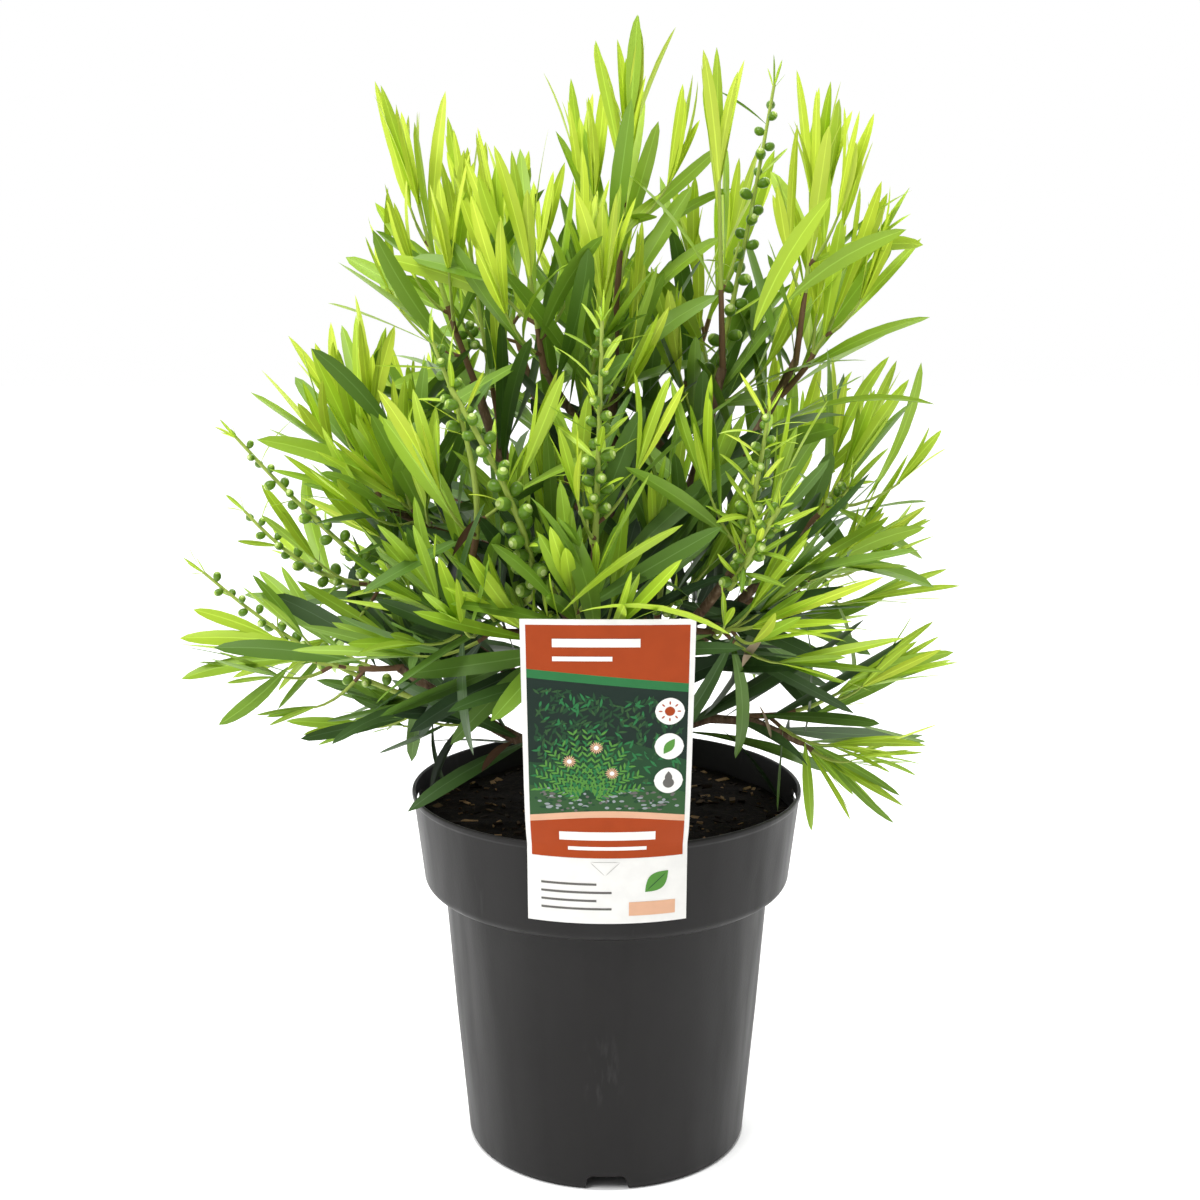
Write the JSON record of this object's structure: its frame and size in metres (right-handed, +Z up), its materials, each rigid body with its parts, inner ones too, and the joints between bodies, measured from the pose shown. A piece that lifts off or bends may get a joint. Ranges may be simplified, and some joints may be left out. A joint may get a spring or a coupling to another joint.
{
  "type": "potted bottlebrush shrub",
  "caption": "Young bottlebrush shrub with upright leafy shoots and bud spikes, in a round flared nursery pot with a curved plant label on its rim.",
  "frame": {"origin": "centre of the pot's flat underside", "axes": "+Z up along the pot's axis, -Y towards the side with the label, +X to the right as seen from the label's side"},
  "size_m": [0.3919, 0.3268, 0.5677],
  "materials": {
    "charcoal_plastic": "satin charcoal moulded plastic with faint scuffs",
    "potting_mix": "damp dark potting mix with bark chips",
    "label_card": "printed plastic card, satin",
    "brown_bark": "rough grey-brown bark",
    "green_leaf": "leathery leaves, lime at the shoots' tips and dark green inside"
  },
  "bodies": {
    "root": {"pot": "charcoal_plastic", "potting_mix": "potting_mix", "plant_label": "label_card", "trunk": "brown_bark", "left_bough": "brown_bark", "right_low_bough": "brown_bark", "back_right_bough": "brown_bark", "front_bough": "brown_bark", "back_left_bough": "brown_bark", "left_mid_bough": "brown_bark", "right_bough": "brown_bark", "front_left_bough": "brown_bark", "back_bough": "brown_bark", "front_right_bough": "brown_bark", "left_rise_bough": "brown_bark", "right_rise_bough": "brown_bark", "leader_bough": "brown_bark", "upper_left_bough": "brown_bark", "upper_centre_bough": "brown_bark", "upper_right_bough": "brown_bark", "back_rise_left_bough": "brown_bark", "back_rise_right_bough": "brown_bark", "left_low_foliage": "green_leaf", "left_low_spike": "green_leaf", "left_under_foliage": "green_leaf", "left_mid_spike": "green_leaf", "left_high_spike": "green_leaf", "left_upper_foliage": "green_leaf", "left_front_foliage": "green_leaf", "top_left_foliage": "green_leaf", "top_left_inner_foliage": "green_leaf", "top_foliage": "green_leaf", "top_inner_foliage": "green_leaf", "top_front_left_foliage": "green_leaf", "top_front_foliage": "green_leaf", "top_right_inner_foliage": "green_leaf", "top_right_spike": "green_leaf", "top_right_foliage": "green_leaf", "right_high_foliage": "green_leaf", "right_mid_foliage": "green_leaf", "right_foliage": "green_leaf", "right_low_foliage": "green_leaf", "right_droop_foliage": "green_leaf", "front_left_spike": "green_leaf", "front_left_foliage": "green_leaf", "front_spike": "green_leaf", "front_inner_left_foliage": "green_leaf", "front_inner_right_foliage": "green_leaf", "front_foliage": "green_leaf", "front_right_spike": "green_leaf", "front_right_foliage": "green_leaf", "back_left_foliage": "green_leaf", "back_left_low_foliage": "green_leaf", "back_foliage": "green_leaf", "back_mid_foliage": "green_leaf", "back_right_foliage": "green_leaf", "back_right_low_spike": "green_leaf", "back_top_left_foliage": "green_leaf", "back_top_right_foliage": "green_leaf"}
  },
  "joints": []
}
